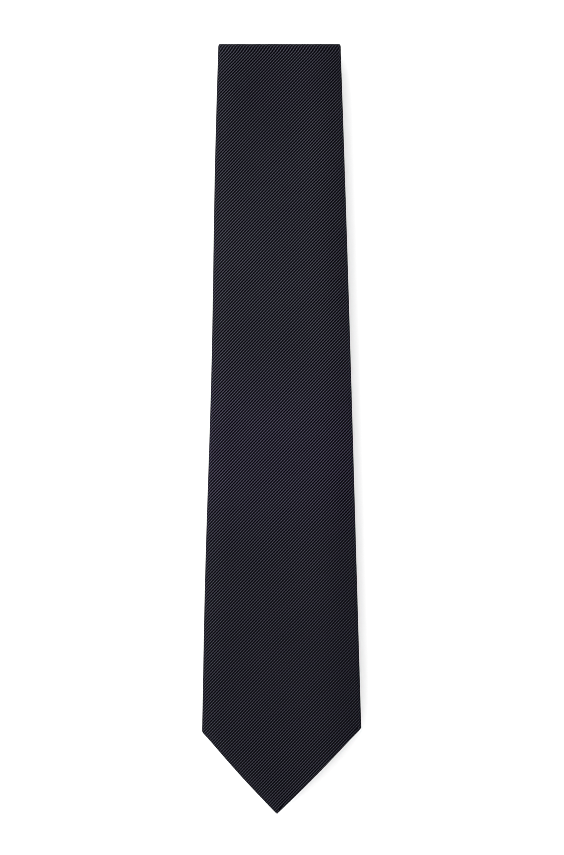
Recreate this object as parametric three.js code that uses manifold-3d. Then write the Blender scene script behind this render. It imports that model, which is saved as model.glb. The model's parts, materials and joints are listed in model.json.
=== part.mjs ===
// A necktie folded in quarters and laid flat, the wide blade on top with its right side up.
// Millimetres. +Z is up from the table, the blade's point is towards -Y, and the origin is
// on the table under the middle of the folded tie.
//
// Four flat layers lie on each other, joined by three folds:
//   blade       right side up      top fold, at +Y
//   front neck  right side down    neck fold, at -Y
//   rear neck   right side up      tail fold, at +Y
//   tail        right side down, on the table

import * as THREE from 'three';
import { mergeVertices } from 'three/addons/utils/BufferGeometryUtils.js';
import Module from 'manifold-3d';

const wasm = await Module();
wasm.setup();

// ---------------------------------------------------------------- driving sizes

const foldedLength = 386.4; // blade point to the outside of the top fold
const bladeWidth = 80; // across the shoulders of the blade
const bladePointDepth = 42.2; // shoulders to point
const topFoldWidth = 61.6;
const neckFoldWidth = 34;
const tailFoldWidth = 33;
const tailWidth = 40; // across the shoulders of the tail
const tailPointDepth = 21;

const cloth = 0.4; // outer cloth
const interlining = 1.1;
const tipping = 0.3;
const gap = 0.3; // between pieces that touch on the real tie

const neckGap = 0.5; // between the two neck layers, face to face
const layerSlack = 0.4; // left over what is sewn on a back, under the next layer
const neckFoldCover = 2.8; // blade cloth seen past the neck fold's corners
const swingClearance = 2.5; // tail point to the blade's point once the neck fold is open

const frontSeamFromNeckFold = 105; // bias seam, blade cloth to neck cloth
const rearSeamFromTailFold = 94; // bias seam, neck cloth to tail cloth
const seamThread = 0.6;

const hem = 8; // outer cloth turned in along the points
const bladeFlapHeight = 83; // point to where the back flaps meet
const tailFlapHeight = 46;
const flapCorner = 4; // side edge to the corner of the diamond opening
const slipThread = 0.6;
const slipInset = 5; // end of the slip stitch to the end of its seam
const tackWidth = 7;
const tackHeight = 0.4;
const tackLength = 1.6;

const keeperWidth = 50;
const keeperLength = 12;
const keeperBand = 0.5;
const keeperSlot = 0.4;
const keeperFoot = 4;
const keeperFromPoint = 215;
const keeperTackWidth = 0.8;

const labelWidth = 46;
const labelLength = 22;
const labelThickness = 0.3;
const labelFromKeeper = 14;

const tagWidth = 24;
const tagLength = 20;
const tagThickness = 0.3;

const foldSteps = 10; // straight steps round a fold
const roundSteps = 3; // straight steps round an edge
const overrun = 12; // how far cuts run past an open end

// ---------------------------------------------------------------- sizes that follow

const layer = 2 * cloth + interlining + tipping + 3 * gap; // thickness of one closed layer
const edgeRound = layer / 2 - gap;
const slit = slipThread + 2 * gap; // centre back opening between the flaps

const bladeGap = gap + keeperSlot + keeperBand + gap + layerSlack;
const tailGap = gap + tackHeight + layerSlack;
const bladePitch = layer + bladeGap; // blade to front neck, middle to middle
const neckPitch = layer + neckGap;
const tailPitch = layer + tailGap;

const tailMiddle = layer / 2;
const rearNeckMiddle = tailMiddle + tailPitch;
const frontNeckMiddle = rearNeckMiddle + neckPitch;
const bladeMiddle = frontNeckMiddle + bladePitch;

const bladePoint = -foldedLength / 2;
const topAxis = foldedLength / 2 - (bladePitch + layer) / 2; // top and tail folds turn here
const neckFoldSetback = (neckFoldWidth / bladeWidth) * bladePointDepth + neckFoldCover;
const neckAxis = bladePoint + neckFoldSetback + (neckPitch + layer) / 2;
const tailPoint = 2 * neckAxis - bladePoint + swingClearance;

const topEnd = topAxis - gap; // open ends of the flat layers
const neckEnd = neckAxis + gap;

// Heights inside one layer, from its middle, with the right side up
const frontFace = layer / 2;
const interliningFront = frontFace - cloth - gap;
const interliningBack = interliningFront - interlining;
const tippingFront = interliningBack - gap;
const tippingBack = tippingFront - tipping;
const backFace = -layer / 2;

// ---------------------------------------------------------------- materials

const outerCloth = new THREE.MeshStandardMaterial({ color: 0x28272f, roughness: 0.85, metalness: 0 });
const core = new THREE.MeshStandardMaterial({ color: 0xd6cfc0, roughness: 0.95, metalness: 0 });
const satin = new THREE.MeshStandardMaterial({ color: 0x1d1c24, roughness: 0.45, metalness: 0 });
const thread = new THREE.MeshStandardMaterial({ color: 0x23222b, roughness: 0.7, metalness: 0 });
const labelCloth = new THREE.MeshStandardMaterial({ color: 0x3a3a42, roughness: 0.6, metalness: 0 });
const tagCloth = new THREE.MeshStandardMaterial({ color: 0xe4e2dc, roughness: 0.7, metalness: 0 });

// ---------------------------------------------------------------- solids

function toSolid(geometry) {
  geometry.deleteAttribute('normal');
  geometry.deleteAttribute('uv');
  const merged = mergeVertices(geometry);
  const vertProperties = Float32Array.from(merged.attributes.position.array);
  const triVerts = Uint32Array.from(merged.index.array);
  return new wasm.Manifold(new wasm.Mesh({ numProp: 3, vertProperties, triVerts }));
}

function toGeometry(solid) {
  const { vertProperties, triVerts } = solid.getMesh();
  const geometry = new THREE.BufferGeometry();
  geometry.setAttribute('position', new THREE.BufferAttribute(vertProperties, 3));
  geometry.setIndex(new THREE.BufferAttribute(triVerts, 1));
  geometry.computeVertexNormals();
  return geometry;
}

// A block from its lowest corner to its highest
function block(low, high) {
  const [width, length, height] = high.map((value, i) => value - low[i]);
  const geometry = new THREE.BoxGeometry(width, length, height);
  geometry.translate(low[0] + width / 2, low[1] + length / 2, low[2] + height / 2);
  return toSolid(geometry);
}

// A flat plate with the given plan, its edges rounded by `rounding`
function plate(corners, bottom, top, rounding = 0) {
  const geometry = new THREE.ExtrudeGeometry(new THREE.Shape(corners), {
    depth: top - bottom - 2 * rounding,
    bevelEnabled: rounding > 0,
    bevelThickness: rounding,
    bevelSize: rounding,
    bevelOffset: -rounding,
    bevelSegments: roundSteps,
  });
  geometry.translate(0, 0, bottom + rounding);
  return toSolid(geometry);
}

// ---------------------------------------------------------------- plans

function inwardNormal(from, to) {
  return new THREE.Vector2(from.y - to.y, to.x - from.x).normalize();
}

// The same outline, moved in by `inset` all round
function insetPlan(corners, inset) {
  return corners.map((corner, i) => {
    const before = corners[(i + corners.length - 1) % corners.length];
    const after = corners[(i + 1) % corners.length];
    const first = inwardNormal(before, corner);
    const second = inwardNormal(corner, after);
    const mitre = first.clone().add(second);
    return mitre.multiplyScalar(inset / (1 + first.dot(second))).add(corner);
  });
}

// Half width at y on the straight side between two stations { y, width }
function halfWidthAt(y, near, far) {
  return (near.width + ((y - near.y) * (far.width - near.width)) / (far.y - near.y)) / 2;
}

// Plan of a pointed layer, which runs on past its open end
function pointedPlan(point, shoulder, openEnd) {
  const end = openEnd.y + overrun;
  const halfEnd = halfWidthAt(end, shoulder, openEnd);
  return [
    new THREE.Vector2(0, point),
    new THREE.Vector2(shoulder.width / 2, shoulder.y),
    new THREE.Vector2(halfEnd, end),
    new THREE.Vector2(-halfEnd, end),
    new THREE.Vector2(-shoulder.width / 2, shoulder.y),
  ];
}

// Plan of a layer with two open ends, which runs on past both
function stripPlan(near, far) {
  const low = near.y - overrun;
  const high = far.y + overrun;
  const halfLow = halfWidthAt(low, near, far);
  const halfHigh = halfWidthAt(high, near, far);
  return [
    new THREE.Vector2(halfLow, low),
    new THREE.Vector2(halfHigh, high),
    new THREE.Vector2(-halfHigh, high),
    new THREE.Vector2(-halfLow, low),
  ];
}

// ---------------------------------------------------------------- flat layers

function trim(solid, low, high) {
  return solid.intersect(block([-bladeWidth, low, -layer], [bladeWidth, high, layer]));
}

// The folded envelope of outer cloth, open along its centre back from `slitStart`
function envelope(plan, slitStart, low, high) {
  const outside = plate(plan, backFace, frontFace, edgeRound);
  const inside = plate(insetPlan(plan, cloth), backFace + cloth, frontFace - cloth, edgeRound - cloth);
  const slitCut = block([-slit / 2, slitStart, backFace - gap], [slit / 2, high + overrun, tippingBack]);
  return trim(outside.subtract(inside).subtract(slitCut), low, high);
}

// The diamond between the hemmed point and the back flaps
function diamondCut(plan, shoulder, point, flapHeight) {
  const hemmed = insetPlan(plan, hem);
  const side = shoulder.width / 2 - flapCorner;
  const corners = [
    hemmed[0],
    new THREE.Vector2(side, shoulder.y + hem / 2),
    new THREE.Vector2(0, point + flapHeight),
    new THREE.Vector2(-side, shoulder.y + hem / 2),
  ];
  return plate(corners, backFace - gap, tippingBack);
}

function interliningPlate(plan, low, high) {
  return trim(plate(insetPlan(plan, cloth + gap + edgeRound / 2), interliningBack, interliningFront), low, high);
}

// The lining behind a diamond opening, up to a straight edge past where the flaps meet
function tippingPlate(plan, low, high) {
  return trim(plate(insetPlan(plan, cloth + gap + edgeRound / 2), tippingBack, tippingFront), low, high);
}

function slipStitch(low, high) {
  const half = slipThread / 2;
  return block([-half, low + slipInset, backFace], [half, high - slipInset, backFace + cloth]);
}

function barTack(flapTop) {
  const top = backFace - gap;
  return block([-tackWidth / 2, flapTop + 1, top - tackHeight], [tackWidth / 2, flapTop + 1 + tackLength, top]);
}

// What lies between two lines that cross the tie on the bias, measured square to the seam
function biasBand(seam, from, to) {
  const reach = foldedLength;
  const geometry = new THREE.BoxGeometry(reach, to - from, 4 * layer);
  geometry.translate(0, (from + to) / 2, 0);
  geometry.rotateZ(Math.PI / 4);
  geometry.translate(0, seam, 0);
  return toSolid(geometry);
}

// A two-ended layer with its shell, interlining and bias seam, cut where two cloths join
function seamedLayer(near, far, seam) {
  const plan = stripPlan(near, far);
  const shell = envelope(plan, near.y - overrun, neckEnd, topEnd);
  const lining = interliningPlate(plan, neckEnd, topEnd);
  const half = seamThread / 2;
  return {
    lowShell: shell.intersect(biasBand(seam, -foldedLength, -half - gap)),
    highShell: shell.intersect(biasBand(seam, half + gap, foldedLength)),
    seam: shell.intersect(biasBand(seam, -half, half)),
    lowInterlining: lining.intersect(biasBand(seam, -foldedLength, -gap / 2)),
    highInterlining: lining.intersect(biasBand(seam, gap / 2, foldedLength)),
    slipStitch: slipStitch(neckEnd, topEnd),
  };
}

// ---------------------------------------------------------------- folds

// A flat bar across the tie, between two distances from a fold's axis
function barSection(width, low, high, rounding) {
  const side = width / 2 - rounding;
  const shape = new THREE.Shape();
  shape.moveTo(-side, low);
  shape.lineTo(side, low);
  shape.absarc(side, low + rounding, rounding, -Math.PI / 2, 0);
  shape.absarc(side, high - rounding, rounding, 0, Math.PI / 2);
  shape.absarc(-side, high - rounding, rounding, Math.PI / 2, Math.PI);
  shape.absarc(-side, low + rounding, rounding, Math.PI, 1.5 * Math.PI);
  return shape;
}

function blockSection(width, low, high) {
  const shape = new THREE.Shape();
  shape.moveTo(-width / 2, low);
  shape.lineTo(width / 2, low);
  shape.lineTo(width / 2, high);
  shape.lineTo(-width / 2, high);
  return shape;
}

// A section swept half a turn round the X axis, bulging towards +Y or -Y (side +1 or -1).
// A cut runs on past both ends by `past` radians.
function sweepRound(section, side, past = 0) {
  const geometry = new THREE.ExtrudeGeometry(section, {
    depth: Math.PI + 2 * past,
    steps: foldSteps,
    curveSegments: roundSteps,
    bevelEnabled: false,
  });
  const position = geometry.attributes.position;
  for (let i = 0; i < position.count; i += 1) {
    const radius = position.getY(i);
    const angle = position.getZ(i) - past;
    const y = side * radius * Math.sin(angle);
    position.setXYZ(i, -side * position.getX(i), y, radius * Math.cos(angle));
  }
  return toSolid(geometry);
}

// The outer cloth round a fold; the tie's back is inside the bend or outside it
function foldShell(width, pitch, side, backInside) {
  const radius = pitch / 2;
  const low = radius - layer / 2;
  const high = radius + layer / 2;
  const cutPast = 0.1;
  const outside = sweepRound(barSection(width, low, high, edgeRound), side);
  const inner = barSection(width - 2 * cloth, low + cloth, high - cloth, edgeRound - cloth);
  const slitLow = backInside ? low - gap : high - cloth - gap / 2;
  const slitHigh = backInside ? low + cloth + gap / 2 : high + gap;
  const slitCut = sweepRound(blockSection(slit, slitLow, slitHigh), side, cutPast);
  return outside.subtract(sweepRound(inner, side, cutPast)).subtract(slitCut);
}

function foldInterlining(width, pitch, side, backInside) {
  const radius = pitch / 2;
  const low = backInside ? radius + interliningBack : radius - interliningFront;
  const across = width - 2 * cloth - 2 * gap - edgeRound;
  return sweepRound(blockSection(across, low, low + interlining), side);
}

// ---------------------------------------------------------------- trims on the blade's back

// The keeper is a low bridge: two sewn-down feet and a band that stands off the back
function keeperLoop(middle) {
  const top = backFace - gap;
  const half = keeperWidth / 2;
  const shape = new THREE.Shape();
  shape.moveTo(-half, top);
  shape.lineTo(-half, top - keeperSlot - keeperBand);
  shape.lineTo(half, top - keeperSlot - keeperBand);
  shape.lineTo(half, top);
  shape.lineTo(half - keeperFoot, top);
  shape.lineTo(half - keeperFoot, top - keeperSlot);
  shape.lineTo(-half + keeperFoot, top - keeperSlot);
  shape.lineTo(-half + keeperFoot, top);
  const geometry = new THREE.ExtrudeGeometry(shape, { depth: keeperLength, bevelEnabled: false });
  geometry.rotateX(Math.PI / 2);
  geometry.translate(0, middle + keeperLength / 2, 0);
  return toSolid(geometry);
}

function keeperTack(middle, side) {
  const near = keeperWidth / 2 + gap;
  const far = near + keeperTackWidth;
  const top = backFace - gap;
  const low = [side > 0 ? near : -far, middle - keeperLength / 3, top - keeperBand];
  const high = [side > 0 ? far : -near, middle + keeperLength / 3, top];
  return block(low, high);
}

function sewnPatch(width, low, length, thickness) {
  const top = backFace - gap;
  return block([-width / 2, low, top - thickness], [width / 2, low + length, top]);
}

// ---------------------------------------------------------------- assembly

const tie = new THREE.Group();
tie.name = 'necktie';

// A layer's group: pieces are made right side up, and a face-down layer is turned over
function addLayer(middle, faceDown) {
  const group = new THREE.Group();
  group.position.z = middle;
  group.rotation.y = faceDown ? Math.PI : 0;
  tie.add(group);
  return group;
}

function addFold(axisY, axisZ) {
  const group = new THREE.Group();
  group.position.set(0, axisY, axisZ);
  tie.add(group);
  return group;
}

function addPiece(group, name, solid, material) {
  const mesh = new THREE.Mesh(toGeometry(solid), material);
  mesh.name = name;
  group.add(mesh);
}

// Blade: the wide pointed end, with the keeper, label and tag on its back
const bladeShoulder = { y: bladePoint + bladePointDepth, width: bladeWidth };
const bladeTop = { y: topAxis, width: topFoldWidth };
const bladePlan = pointedPlan(bladePoint, bladeShoulder, bladeTop);
const bladeFlapTop = bladePoint + bladeFlapHeight;
const bladeDiamond = diamondCut(bladePlan, bladeShoulder, bladePoint, bladeFlapHeight);
const bladeShell = envelope(bladePlan, bladeFlapTop - slit, bladePoint, topEnd).subtract(bladeDiamond);
const keeperMiddle = bladePoint + keeperFromPoint;
const labelStart = keeperMiddle + keeperLength / 2 + labelFromKeeper;
const tagStart = keeperMiddle - keeperLength / 2 - gap - tagLength;

const blade = addLayer(bladeMiddle, false);
addPiece(blade, 'blade_shell', bladeShell, outerCloth);
addPiece(blade, 'blade_interlining', interliningPlate(bladePlan, bladePoint, topEnd), core);
addPiece(blade, 'blade_tipping', tippingPlate(bladePlan, bladePoint, bladeFlapTop + hem), satin);
addPiece(blade, 'blade_bar_tack', barTack(bladeFlapTop), thread);
addPiece(blade, 'blade_slip_stitch', slipStitch(bladeFlapTop, topEnd), thread);
addPiece(blade, 'keeper_loop', keeperLoop(keeperMiddle), outerCloth);
addPiece(blade, 'keeper_tack_left', keeperTack(keeperMiddle, -1), thread);
addPiece(blade, 'keeper_tack_right', keeperTack(keeperMiddle, 1), thread);
addPiece(blade, 'label', sewnPatch(labelWidth, labelStart, labelLength, labelThickness), labelCloth);
addPiece(blade, 'care_tag', sewnPatch(tagWidth, tagStart, tagLength, tagThickness), tagCloth);

// Top fold: blade cloth turning over, back inside
const topFold = addFold(topAxis, (bladeMiddle + frontNeckMiddle) / 2);
addPiece(topFold, 'top_fold_shell', foldShell(topFoldWidth, bladePitch, 1, true), outerCloth);
addPiece(topFold, 'top_fold_interlining', foldInterlining(topFoldWidth, bladePitch, 1, true), core);

// Front neck layer: the rest of the blade cloth, then the neck cloth
const neckNear = { y: neckAxis, width: neckFoldWidth };
const frontNeckPieces = seamedLayer(neckNear, bladeTop, neckAxis + frontSeamFromNeckFold);
const frontNeck = addLayer(frontNeckMiddle, true);
addPiece(frontNeck, 'blade_shell_upper', frontNeckPieces.highShell, outerCloth);
addPiece(frontNeck, 'bias_seam_front', frontNeckPieces.seam, thread);
addPiece(frontNeck, 'neck_shell_front', frontNeckPieces.lowShell, outerCloth);
addPiece(frontNeck, 'blade_interlining_upper', frontNeckPieces.highInterlining, core);
addPiece(frontNeck, 'neck_interlining_front', frontNeckPieces.lowInterlining, core);
addPiece(frontNeck, 'neck_slip_stitch_front', frontNeckPieces.slipStitch, thread);

// Neck fold: neck cloth turning over, right side inside
const neckFold = addFold(neckAxis, (frontNeckMiddle + rearNeckMiddle) / 2);
addPiece(neckFold, 'neck_fold_shell', foldShell(neckFoldWidth, neckPitch, -1, false), outerCloth);
addPiece(neckFold, 'neck_fold_interlining', foldInterlining(neckFoldWidth, neckPitch, -1, false), core);

// Rear neck layer: the rest of the neck cloth, then the tail cloth
const tailFar = { y: topAxis, width: tailFoldWidth };
const rearNeckPieces = seamedLayer(neckNear, tailFar, topAxis - rearSeamFromTailFold);
const rearNeck = addLayer(rearNeckMiddle, false);
addPiece(rearNeck, 'neck_shell_rear', rearNeckPieces.lowShell, outerCloth);
addPiece(rearNeck, 'bias_seam_rear', rearNeckPieces.seam, thread);
addPiece(rearNeck, 'tail_shell_upper', rearNeckPieces.highShell, outerCloth);
addPiece(rearNeck, 'neck_interlining_rear', rearNeckPieces.lowInterlining, core);
addPiece(rearNeck, 'tail_interlining_upper', rearNeckPieces.highInterlining, core);
addPiece(rearNeck, 'neck_slip_stitch_rear', rearNeckPieces.slipStitch, thread);

// Tail fold: tail cloth turning over, back inside
const tailFold = addFold(topAxis, (rearNeckMiddle + tailMiddle) / 2);
addPiece(tailFold, 'tail_fold_shell', foldShell(tailFoldWidth, tailPitch, 1, true), outerCloth);
addPiece(tailFold, 'tail_fold_interlining', foldInterlining(tailFoldWidth, tailPitch, 1, true), core);

// Tail: the narrow pointed end, face down on the table
const tailShoulder = { y: tailPoint + tailPointDepth, width: tailWidth };
const tailPlan = pointedPlan(tailPoint, tailShoulder, tailFar);
const tailFlapTop = tailPoint + tailFlapHeight;
const tailDiamond = diamondCut(tailPlan, tailShoulder, tailPoint, tailFlapHeight);
const tailShell = envelope(tailPlan, tailFlapTop - slit, tailPoint, topEnd).subtract(tailDiamond);

const tail = addLayer(tailMiddle, true);
addPiece(tail, 'tail_shell', tailShell, outerCloth);
addPiece(tail, 'tail_interlining', interliningPlate(tailPlan, tailPoint, topEnd), core);
addPiece(tail, 'tail_tipping', tippingPlate(tailPlan, tailPoint, tailFlapTop + hem), satin);
addPiece(tail, 'tail_bar_tack', barTack(tailFlapTop), thread);
addPiece(tail, 'tail_slip_stitch', slipStitch(tailFlapTop, topEnd), thread);

export default tie;
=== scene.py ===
# %% [markdown]
# # A necktie, folded in quarters
#
# A necktie is one long envelope of cloth cut on the bias, wrapped round a felted core and closed
# down its back by hand. Here it is put away as it is kept in a drawer: folded in quarters, with
# the wide blade on top. Four layers lie on each other, joined by three soft folds.
#
# The CAD model gives every size and every hinge. This script makes the cloth, the core, the
# linings and the sewing on top of that frame, in metres.

# %% The frame
import json
import math

import bmesh
import bpy
import numpy as np
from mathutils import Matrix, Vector


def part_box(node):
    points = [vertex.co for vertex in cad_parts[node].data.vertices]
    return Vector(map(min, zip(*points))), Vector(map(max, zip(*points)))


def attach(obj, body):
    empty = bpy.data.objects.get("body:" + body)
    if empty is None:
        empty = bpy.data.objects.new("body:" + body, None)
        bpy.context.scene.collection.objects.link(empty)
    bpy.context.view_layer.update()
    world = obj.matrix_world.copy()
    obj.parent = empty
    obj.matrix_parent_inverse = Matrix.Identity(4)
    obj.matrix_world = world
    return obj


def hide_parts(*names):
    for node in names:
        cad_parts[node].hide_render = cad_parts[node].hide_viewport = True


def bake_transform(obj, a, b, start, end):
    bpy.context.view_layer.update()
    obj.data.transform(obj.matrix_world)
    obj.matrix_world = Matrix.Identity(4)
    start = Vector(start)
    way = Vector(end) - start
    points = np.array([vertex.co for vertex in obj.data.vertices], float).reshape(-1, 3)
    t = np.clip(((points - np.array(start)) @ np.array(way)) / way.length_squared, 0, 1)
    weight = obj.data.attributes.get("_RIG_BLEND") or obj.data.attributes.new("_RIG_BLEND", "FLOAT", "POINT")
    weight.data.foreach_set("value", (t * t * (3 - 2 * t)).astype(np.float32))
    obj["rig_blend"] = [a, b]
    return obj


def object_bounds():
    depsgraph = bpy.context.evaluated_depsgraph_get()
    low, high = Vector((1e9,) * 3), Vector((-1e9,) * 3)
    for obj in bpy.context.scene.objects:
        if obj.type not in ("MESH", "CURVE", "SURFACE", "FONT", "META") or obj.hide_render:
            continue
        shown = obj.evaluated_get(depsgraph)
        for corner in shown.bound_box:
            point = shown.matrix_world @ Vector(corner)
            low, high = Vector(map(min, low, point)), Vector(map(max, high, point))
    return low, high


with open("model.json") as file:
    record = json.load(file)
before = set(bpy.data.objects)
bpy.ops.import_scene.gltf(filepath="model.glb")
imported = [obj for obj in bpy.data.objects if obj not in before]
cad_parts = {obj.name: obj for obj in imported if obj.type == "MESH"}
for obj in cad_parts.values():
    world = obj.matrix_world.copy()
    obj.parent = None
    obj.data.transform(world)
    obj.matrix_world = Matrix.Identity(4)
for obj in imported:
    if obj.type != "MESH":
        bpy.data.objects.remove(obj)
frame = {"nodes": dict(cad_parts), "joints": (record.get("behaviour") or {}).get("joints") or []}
cad_box = [list(corner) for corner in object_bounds()]
scene = bpy.context.scene
print("CAD box:", cad_box)

# %% [markdown]
# ## The camera
#
# The tie is seen from straight above. A long lens a good way up keeps its sides from leaning.

# %% Camera
SENSOR = 36.0  # mm, on the picture's long side
CAMERA_HEIGHT = 2.5  # above the blade
VIEW_LENGTH = 0.4287  # table seen along the tie
VIEW_CENTRE = (0.00017, 0.0006)

camera_data = bpy.data.cameras.new("camera")
camera_data.sensor_width = SENSOR
camera_data.lens = SENSOR * CAMERA_HEIGHT / VIEW_LENGTH
camera_data.clip_end = 20.0
camera = bpy.data.objects.new("camera", camera_data)
camera.location = (*VIEW_CENTRE, cad_box[1][2] + CAMERA_HEIGHT)
scene.collection.objects.link(camera)
scene.camera = camera
print("lens", round(camera_data.lens, 1), "mm")

# %% [markdown]
# ## One long tie, laid along its folds
#
# Everything on a tie is made while it is flat, and only then folded. The model works the same
# way. A place on the tie is (s, x, h): s along from the blade's point, x across, and h through
# the thickness, positive towards the right side of the cloth. One function, `lay`, carries such
# a place round the folds to where it lies on the table. The cloth, the core, the linings and the
# stitches all go through it, so they fit each other in every layer.

# %% Folds and layers
joints = {joint["name"]: joint for joint in frame["joints"]}
TOP_AXIS = Vector(joints["top_fold"]["pos_m"])
NECK_AXIS = Vector(joints["neck_fold"]["pos_m"])
TAIL_AXIS = Vector(joints["tail_fold"]["pos_m"])


def middle_height(node):
    low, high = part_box(node)
    return (low.z + high.z) / 2


def half_width(node):
    low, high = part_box(node)
    return (high.x - low.x) / 2


def shoulder_y(node):
    """Where a pointed layer is widest."""
    vertices = frame["nodes"][node].data.vertices
    return max(vertices, key=lambda vertex: vertex.co.x).co.y


BLADE_Z = middle_height("blade_shell")
FRONT_Z = middle_height("blade_shell_upper")
REAR_Z = middle_height("neck_shell_rear")
TAIL_Z = middle_height("tail_shell")
TOP_RADIUS = (BLADE_Z - FRONT_Z) / 2
NECK_RADIUS = (FRONT_Z - REAR_Z) / 2
TAIL_RADIUS = (REAR_Z - TAIL_Z) / 2
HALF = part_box("blade_shell")[1].z - BLADE_Z  # half a closed layer's thickness

BLADE_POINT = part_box("blade_shell")[0].y
TAIL_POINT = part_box("tail_shell")[0].y
S_TOP = TOP_AXIS.y - BLADE_POINT
S_FRONT = S_TOP + math.pi * TOP_RADIUS
S_NECK = S_FRONT + TOP_AXIS.y - NECK_AXIS.y
S_REAR = S_NECK + math.pi * NECK_RADIUS
S_TAIL = S_REAR + TOP_AXIS.y - NECK_AXIS.y
S_LAST = S_TAIL + math.pi * TAIL_RADIUS
S_END = S_LAST + TOP_AXIS.y - TAIL_POINT
S_SHOULDER = shoulder_y("blade_shell") - BLADE_POINT
S_TAIL_SHOULDER = S_END - (shoulder_y("tail_shell") - TAIL_POINT)
print("tie", round(S_END, 3), "m long, layer", round(HALF * 2000, 2), "mm thick")

# %% [markdown]
# The blade reaches out past the narrower layers under it, and its edges and point droop a little
# towards the table. `droop` is that sag. It fades out before the top fold, and it is nothing over
# the layers that hold the blade up.

# %% Laying the tie
BLADE_HALF = half_width("blade_shell")
DROOP_SIDE = 0.00176  # at DROOP_OUT from the middle, which is a little past the side edges
DROOP_POINT = 0.0016  # more at its point
DROOP_OUT = BLADE_HALF * 1.25
DROOP_FADE = (0.75, 0.98)  # shares of the way to the top fold
HELD_HALF = 0.016  # half width of the blade that the neck layers hold up
HELD_FROM = S_SHOULDER + 0.012


def ease(value, start, end):
    """0 before start, 1 after end, and a smooth step between them."""
    share = np.clip((np.asarray(value, float) - start) / (end - start), 0, 1)
    return share * share * (3 - 2 * share)


def droop(s, x):
    side = ease(np.abs(x), HELD_HALF, DROOP_OUT) * DROOP_SIDE
    point = (1 - ease(s, 0, HELD_FROM)) * DROOP_POINT
    return (side + point) * (1 - ease(s, S_TOP * DROOP_FADE[0], S_TOP * DROOP_FADE[1]))


def lay(s, x, h):
    """Where places on the tie lie on the table."""
    s, x, h = np.broadcast_arrays(np.asarray(s, float), x, h)
    top = (s - S_TOP) / TOP_RADIUS
    neck = (s - S_NECK) / NECK_RADIUS
    tail = (s - S_TAIL) / TAIL_RADIUS
    runs = [s < S_TOP, s < S_FRONT, s < S_NECK, s < S_REAR, s < S_TAIL, s < S_LAST]
    y = np.select(runs, [
        BLADE_POINT + s,
        TOP_AXIS.y + (TOP_RADIUS + h) * np.sin(top),
        TOP_AXIS.y - (s - S_FRONT),
        NECK_AXIS.y - (NECK_RADIUS - h) * np.sin(neck),
        NECK_AXIS.y + (s - S_REAR),
        TOP_AXIS.y + (TAIL_RADIUS + h) * np.sin(tail),
    ], TOP_AXIS.y - (s - S_LAST))
    z = np.select(runs, [
        BLADE_Z + h - droop(s, x),
        TOP_AXIS.z + (TOP_RADIUS + h) * np.cos(top),
        FRONT_Z - h,
        NECK_AXIS.z + (NECK_RADIUS - h) * np.cos(neck),
        REAR_Z + h,
        TAIL_AXIS.z + (TAIL_RADIUS + h) * np.cos(tail),
    ], TAIL_Z - h)
    return np.stack([x, y, z], axis=-1)


# %% [markdown]
# ## The outline
#
# The tie is widest across the blade's shoulders, narrows through the neck, and widens a little to
# the tail. No hand-folded tie is perfectly even: the blade's point sits a little to one side, one
# shoulder is a little lower, and the long sides wander by a fraction of a millimetre.

# %% Outline
TOP_HALF = half_width("top_fold_shell")
NECK_HALF = half_width("neck_fold_shell")
BACK_HALF = half_width("tail_fold_shell")
TAIL_HALF = half_width("tail_shell")
POINT_SHIFT = -0.0024  # the blade's point, to the left of the middle
SHOULDER_SKEW = 0.0009  # left shoulder nearer the point, right shoulder further
TOP_SHIFT = -0.0011
POINT_ROUND = 0.0004
SIDE_WANDER = 0.0004  # of the left side
WANDER_WAVES = 1.4
SIDE_BOW = 0.0005  # of the right side
POINT_BOW = 0.00055  # how far the point's slanted edges bulge
POINT_BOW_END = 0.036
SLOPE_STEP = 0.002  # to each side of a place, for the slope of an edge there


def stations(skew):
    """Places along the tie where its width is known."""
    folds = [S_TOP, S_FRONT, S_NECK, S_REAR, S_TAIL, S_LAST]
    return [0, S_SHOULDER + skew, *folds, S_TAIL_SHOULDER, S_END]


def rounded(s):
    """Distance along the tie, stretched near both points so that they end in a small round."""
    start = np.sqrt(np.maximum(s, 0) * (np.maximum(s, 0) + 2 * POINT_ROUND))
    left = np.maximum(S_END - s, 0)
    end = np.sqrt(left * (left + 2 * POINT_ROUND))
    return np.where(s < S_NECK, start, S_END - end)


def edges(s):
    """The tie's left and right side at s."""
    s = np.asarray(s, float)
    halves = np.array([0, BLADE_HALF, TOP_HALF, TOP_HALF, NECK_HALF, NECK_HALF, BACK_HALF, BACK_HALF,
                       TAIL_HALF, 0])
    shift = np.array([POINT_SHIFT, 0, TOP_SHIFT, TOP_SHIFT, 0, 0, 0, 0, 0, 0])
    at = rounded(s)
    along = np.clip((s - S_SHOULDER) / (S_TOP - S_SHOULDER), 0, 1)
    fade = np.sin(np.pi * along)
    left = np.interp(at, stations(-SHOULDER_SKEW), shift - halves)
    right = np.interp(at, stations(SHOULDER_SKEW), shift + halves)
    bulge = POINT_BOW * np.sin(np.pi * np.clip(s / POINT_BOW_END, 0, 1))
    left = left - SIDE_WANDER * np.sin(2 * np.pi * WANDER_WAVES * along) * np.sqrt(fade) - bulge
    right = right + SIDE_BOW * fade * along + bulge
    return left, right


# %% [markdown]
# The back flaps meet along the middle, but near each point they part in a diamond that shows the
# lining. `opening` is half the width of that diamond: it grows along the turned-in hem, and
# shrinks again along the flaps' slanted edges up to the bar tack.

# %% Diamond openings
BLADE_HEM = 0.008
TAIL_HEM = 0.006
BLADE_FLAP_SLOPE = 1.0  # half width gained for each metre away from the bar tack
TAIL_FLAP_SLOPE = 0.8
BLADE_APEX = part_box("blade_bar_tack")[0].y - BLADE_POINT
TAIL_APEX = S_END - (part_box("tail_bar_tack")[0].y - TAIL_POINT)


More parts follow.
